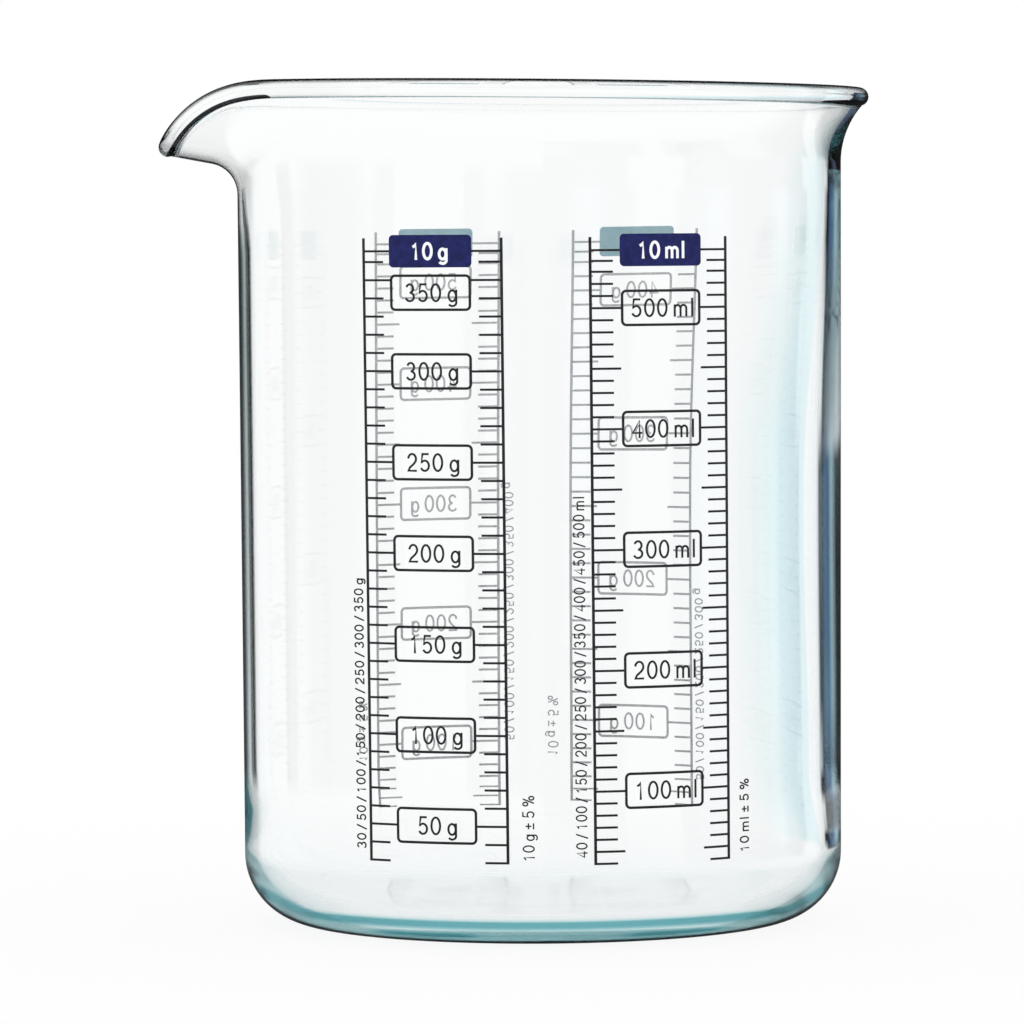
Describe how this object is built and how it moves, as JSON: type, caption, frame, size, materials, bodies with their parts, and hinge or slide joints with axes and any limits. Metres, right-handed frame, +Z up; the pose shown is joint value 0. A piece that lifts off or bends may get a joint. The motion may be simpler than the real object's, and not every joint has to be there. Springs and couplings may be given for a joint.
{
  "type": "measuring jug",
  "caption": "Beaker-shaped clear glass measuring jug with a flared, beaded rim, a pulled pouring spout and enamel volume and weight scales on its wall.",
  "frame": {"origin": "centre of the standing face under the base, on the axis of the round wall", "axes": "+Z up along the jug's axis, -X towards the spout, -Y towards the two front scales"},
  "size_m": [0.1058, 0.0982, 0.1254],
  "materials": {
    "clear_glass": "polished",
    "black_enamel": "fired gloss",
    "blue_enamel": "fired gloss"
  },
  "bodies": {
    "root": {"glass_body": "clear_glass", "weight_left_comb": "black_enamel", "weight_right_comb": "black_enamel", "weight_frames": "black_enamel", "weight_plaque": "blue_enamel", "volume_left_comb": "black_enamel", "volume_right_comb": "black_enamel", "volume_frames": "black_enamel", "volume_plaque": "blue_enamel", "sugar_left_comb": "black_enamel", "sugar_right_comb": "black_enamel", "sugar_frames": "black_enamel", "sugar_plaque": "blue_enamel", "rice_left_comb": "black_enamel", "rice_right_comb": "black_enamel", "rice_frames": "black_enamel", "rice_plaque": "blue_enamel"}
  },
  "joints": []
}
